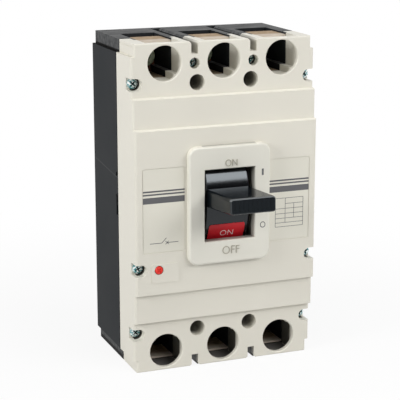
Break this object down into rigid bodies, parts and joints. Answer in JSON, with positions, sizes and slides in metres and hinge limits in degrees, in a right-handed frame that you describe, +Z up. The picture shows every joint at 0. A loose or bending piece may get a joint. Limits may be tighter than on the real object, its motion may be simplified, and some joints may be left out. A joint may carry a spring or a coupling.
{
  "type": "moulded case circuit breaker",
  "caption": "Moulded case circuit breaker with a stepped light cover on a dark base, a toggle handle in a raised frame, a trip button and open terminal cells.",
  "frame": {"origin": "centre of the back face, the face that goes against the mounting panel", "axes": "+X to the right seen from the front, +Y into the panel (the handle points along -Y), +Z up towards the line terminals"},
  "size_m": [0.15, 0.152, 0.257],
  "materials": {
    "dark_case": "fine matt moulded plastic, charcoal",
    "light_case": "satin moulded plastic, warm light grey",
    "frame": "satin moulded plastic, warm light grey",
    "black_plastic": "glossy black plastic",
    "handle_plastic": "satin dark grey plastic",
    "red_label": "red printed film",
    "red_plastic": "red plastic",
    "steel": "plain steel",
    "zinc": "bright zinc plate",
    "copper": "bare copper",
    "fibre_board": "brown insulating fibre board",
    "paper_label": "printed label in the colour of the cover"
  },
  "bodies": {
    "case": {"base": "dark_case", "cover": "light_case", "handle_frame": "frame", "pivot_pin": "steel", "line_bar_1": "copper", "line_bar_2": "copper", "line_bar_3": "copper", "load_bar_1": "copper", "load_bar_2": "copper", "load_bar_3": "copper", "line_bolt_1": "zinc", "line_bolt_2": "zinc", "line_bolt_3": "zinc", "load_bolt_1": "zinc", "load_bolt_2": "zinc", "load_bolt_3": "zinc", "line_plate_1": "fibre_board", "line_plate_2": "fibre_board", "line_plate_3": "fibre_board", "load_plate_1": "fibre_board", "load_plate_2": "fibre_board", "load_plate_3": "fibre_board", "end_screw_left": "zinc", "end_screw_right": "zinc", "upper_screw_left": "zinc", "upper_screw_right": "zinc", "middle_screw_left": "zinc", "middle_screw_right": "zinc", "lower_screw_left": "zinc", "lower_screw_right": "zinc", "rating_label": "paper_label", "data_label": "paper_label"},
    "handle": {"handle_shield": "black_plastic", "handle": "handle_plastic", "position_label": "red_label"},
    "trip_button": {"trip_button": "red_plastic"}
  },
  "joints": [
    {"name": "handle_hinge", "type": "hinge", "parent": "case", "child": "handle", "pos_m": [0, -0.0455, 0.0037], "axis": [-1, 0, 0], "range_deg": [-21.5, 11.5]},
    {"name": "trip_button_slide", "type": "slide", "parent": "case", "child": "trip_button", "axis": [0, 1, 0], "range_m": [0, 0.003], "stiffness_N_per_m": 300, "springref_m": -0.001}
  ]
}
